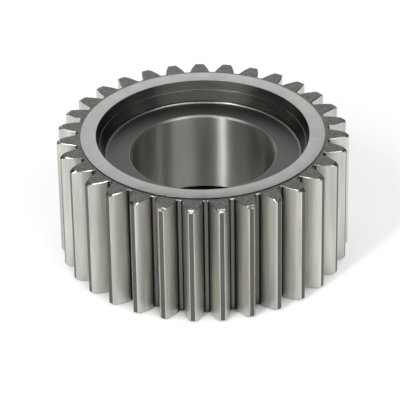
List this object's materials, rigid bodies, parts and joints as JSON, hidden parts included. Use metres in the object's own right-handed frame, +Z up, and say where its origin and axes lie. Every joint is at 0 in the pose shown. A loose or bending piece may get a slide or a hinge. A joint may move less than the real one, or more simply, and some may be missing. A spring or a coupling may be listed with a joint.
{
  "type": "planet gear",
  "caption": "Spur planet gear with involute teeth, a ground through bore, a stepped recess at each end and raised hub rings.",
  "frame": {"origin": "middle of the bore, on its axis and half way between the two hub rings", "axes": "+Z up along the bore's axis, +X through the middle of a tooth; the gear rests on its lower hub ring"},
  "size_m": [0.1318, 0.132, 0.059],
  "materials": {
    "gear_steel": "ground flanks and bore, turned faces"
  },
  "bodies": {
    "root": {"planet_gear": "gear_steel"}
  },
  "joints": []
}
